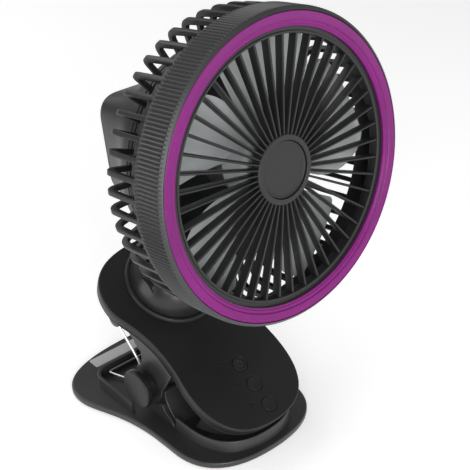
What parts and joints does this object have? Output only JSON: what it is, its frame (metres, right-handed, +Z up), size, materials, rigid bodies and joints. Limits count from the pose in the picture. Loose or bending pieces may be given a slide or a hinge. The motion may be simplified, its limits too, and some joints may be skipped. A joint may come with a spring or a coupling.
{
  "type": "clip-on desk fan",
  "caption": "Rechargeable clip fan: 18 cm round head with a finned rear cage and ribbed front grille on a tilting, swivelling dome neck over a spring clip with buttons.",
  "frame": {"origin": "centre of the flat underside of the lower jaw, midway along its length", "axes": "+Z up, -Y the way the fan blows and the way the clip's mouth points, +X to the fan's left; the part is symmetric about x = 0 apart from the buttons"},
  "size_m": [0.1828, 0.1812, 0.3],
  "materials": {
    "head_plastic": "fine matte, moulded",
    "trim_gloss": "gloss coloured ring",
    "grille_plastic": "satin, moulded",
    "blade_plastic": "satin light grey",
    "dome_plastic": "soft gloss",
    "clip_plastic": "fine matte, moulded",
    "button_plastic": "satin",
    "lamp_lens": "clear-grey lens",
    "pad_rubber": "soft matte",
    "pin_steel": "drawn bright",
    "bush_bronze": "sintered",
    "spring_wire": "bright plated",
    "board_laminate": "coated laminate",
    "cell_sleeve": "shrink sleeve",
    "port_shell": "plated shell"
  },
  "bodies": {
    "lower_jaw_body": {"lower_jaw": "clip_plastic", "lower_pad": "pad_rubber", "pivot_pin": "pin_steel", "pivot_cap_left": "clip_plastic", "pivot_cap_right": "clip_plastic", "clip_spring": "spring_wire"},
    "upper_jaw_body": {"upper_jaw_top": "clip_plastic", "upper_jaw_belly": "clip_plastic", "socket_collar": "clip_plastic", "circuit_board": "board_laminate", "battery_front": "cell_sleeve", "battery_rear": "cell_sleeve", "charging_socket": "port_shell", "upper_pad": "pad_rubber", "indicator_1": "lamp_lens", "indicator_2": "lamp_lens", "indicator_3": "lamp_lens"},
    "neck_body": {"neck_dome": "dome_plastic", "tilt_pin": "pin_steel"},
    "head_body": {"front_bezel": "head_plastic", "trim_ring": "trim_gloss", "front_grille": "grille_plastic", "hub_cap": "grille_plastic", "rear_cage": "head_plastic", "motor_plate": "head_plastic", "rear_housing": "head_plastic", "motor_can": "pin_steel", "bush_front": "bush_bronze", "bush_rear": "bush_bronze"},
    "rotor_body": {"fan_rotor": "blade_plastic", "motor_shaft": "pin_steel"},
    "button_1_body": {"button_1": "button_plastic"},
    "button_2_body": {"button_2": "button_plastic"},
    "button_3_body": {"button_3": "button_plastic"}
  },
  "joints": [
    {"name": "jaw_hinge", "type": "hinge", "parent": "lower_jaw_body", "child": "upper_jaw_body", "pos_m": [0, 0.004, 0.026], "axis": [-1, 0, 0], "range_deg": [0, 25], "stiffness_Nm_per_rad": 2, "springref_deg": -34.38, "deforming": ["clip_spring"]},
    {"name": "neck_swivel", "type": "hinge", "parent": "upper_jaw_body", "child": "neck_body", "pos_m": [0, 0.02635, 0.07826], "axis": [0, -0.4833, 0.8755], "range_deg": [-175, 175]},
    {"name": "head_tilt", "type": "hinge", "parent": "neck_body", "child": "head_body", "pos_m": [0, 0.02007, 0.08964], "axis": [1, 0, 0], "range_deg": [-45, 35]},
    {"name": "rotor_spin", "type": "hinge", "parent": "head_body", "child": "rotor_body", "pos_m": [0, -0.086, 0.2106], "axis": [0, -0.9848, 0.1736], "continuous": true},
    {"name": "button_1_press", "type": "slide", "parent": "upper_jaw_body", "child": "button_1_body", "axis": [0, 0.4833, -0.8755], "range_m": [0, 0.0006], "stiffness_N_per_m": 1000, "springref_m": -0.0006},
    {"name": "button_2_press", "type": "slide", "parent": "upper_jaw_body", "child": "button_2_body", "axis": [0, 0.4833, -0.8755], "range_m": [0, 0.0006], "stiffness_N_per_m": 1000, "springref_m": -0.0006},
    {"name": "button_3_press", "type": "slide", "parent": "upper_jaw_body", "child": "button_3_body", "axis": [0, 0.4833, -0.8755], "range_m": [0, 0.0006], "stiffness_N_per_m": 1000, "springref_m": -0.0006}
  ]
}
